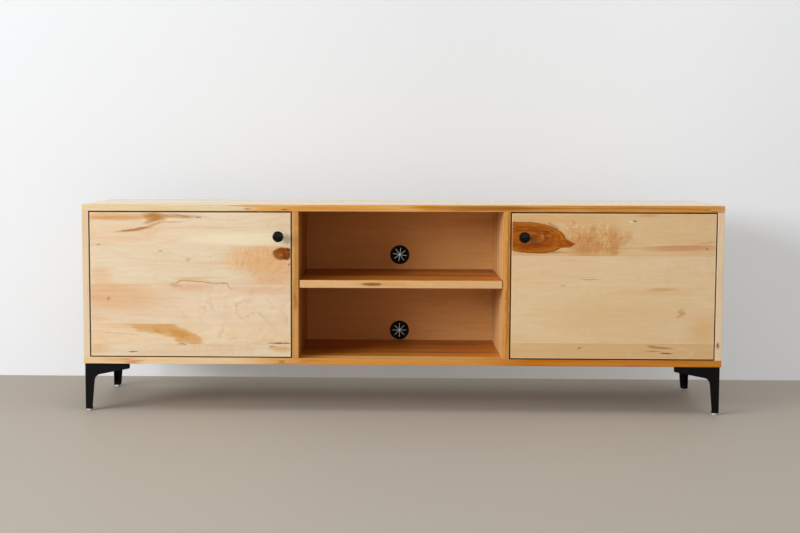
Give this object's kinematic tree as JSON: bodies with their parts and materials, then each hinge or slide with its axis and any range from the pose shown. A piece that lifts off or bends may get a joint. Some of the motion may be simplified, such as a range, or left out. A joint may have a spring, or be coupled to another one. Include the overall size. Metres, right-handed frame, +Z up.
{
  "type": "media console",
  "caption": "Low wide wooden media console: open middle bay with a loose shelf, an inset door at each end on concealed hinges, and four tapered black metal corner legs.",
  "frame": {"origin": "on the floor, under the centre of the bounding box", "axes": "+Z up, front towards -Y, width along X"},
  "size_m": [1.829, 0.457, 0.599],
  "materials": {
    "maple_top": "satin lacquer",
    "maple_bottom": "satin lacquer",
    "maple_side": "satin lacquer",
    "maple_divider": "satin lacquer",
    "maple_door": "satin lacquer",
    "maple_shelf": "satin lacquer",
    "maple_ply": "satin lacquer",
    "beech": "plain",
    "black_steel": "satin powder coat",
    "black_screw": "black zinc",
    "knob_black": "satin black",
    "hinge_steel": "nickel plated",
    "bright_screw": "zinc plated",
    "strike_steel": "zinc plated",
    "support_steel": "nickel plated",
    "magnet": "dull grey",
    "catch_plastic": "plain",
    "grommet_plastic": "satin",
    "grommet_rubber": "matt",
    "nylon": "clear nylon"
  },
  "bodies": {
    "case": {"top_panel": "maple_top", "bottom_panel": "maple_bottom", "left_side": "maple_side", "right_side": "maple_side", "left_divider": "maple_divider", "right_divider": "maple_divider", "back_panel": "maple_ply", "case_dowels": "beech", "back_screws": "bright_screw", "upper_grommet_ring": "grommet_plastic", "upper_grommet_star": "grommet_rubber", "lower_grommet_ring": "grommet_plastic", "lower_grommet_star": "grommet_rubber", "left_hinge_arms": "hinge_steel", "right_hinge_arms": "hinge_steel", "left_hinge_plates": "hinge_steel", "right_hinge_plates": "hinge_steel", "left_plate_screws": "bright_screw", "right_plate_screws": "bright_screw", "left_catch": "catch_plastic", "right_catch": "catch_plastic", "left_catch_magnet": "magnet", "right_catch_magnet": "magnet", "catch_screws": "bright_screw", "middle_shelf_pins": "support_steel", "left_shelf_pins": "support_steel", "right_shelf_pins": "support_steel", "front_left_leg": "black_steel", "front_right_leg": "black_steel", "rear_left_leg": "black_steel", "rear_right_leg": "black_steel", "leg_screws": "black_screw", "front_left_glide": "nylon", "front_right_glide": "nylon", "rear_left_glide": "nylon", "rear_right_glide": "nylon", "glide_bolts": "bright_screw", "glide_nuts": "bright_screw"},
    "door_left": {"left_door": "maple_door", "left_knob": "knob_black", "left_knob_screw": "bright_screw", "left_hinge_cups": "hinge_steel", "left_hinge_pins": "hinge_steel", "left_cup_screws": "bright_screw", "left_strike": "strike_steel", "left_strike_screw": "bright_screw"},
    "door_right": {"right_door": "maple_door", "right_knob": "knob_black", "right_knob_screw": "bright_screw", "right_hinge_cups": "hinge_steel", "right_hinge_pins": "hinge_steel", "right_cup_screws": "bright_screw", "right_strike": "strike_steel", "right_strike_screw": "bright_screw"},
    "shelf_middle": {"middle_shelf": "maple_shelf"},
    "shelf_left": {"left_shelf": "maple_shelf"},
    "shelf_right": {"right_shelf": "maple_shelf"}
  },
  "joints": [
    {"name": "left_door_hinge", "type": "hinge", "parent": "case", "child": "door_left", "pos_m": [-0.8765, -0.1912, 0.369], "axis": [0, 0, -1], "range_deg": [0, 105]},
    {"name": "right_door_hinge", "type": "hinge", "parent": "case", "child": "door_right", "pos_m": [0.8765, -0.1912, 0.369], "axis": [0, 0, 1], "range_deg": [0, 105]},
    {"name": "middle_shelf_lift", "type": "slide", "parent": "case", "child": "shelf_middle", "axis": [0, 0, 1], "range_m": [0, 0.15]},
    {"name": "left_shelf_lift", "type": "slide", "parent": "case", "child": "shelf_left", "axis": [0, 0, 1], "range_m": [0, 0.06]},
    {"name": "right_shelf_lift", "type": "slide", "parent": "case", "child": "shelf_right", "axis": [0, 0, 1], "range_m": [0, 0.06]}
  ]
}
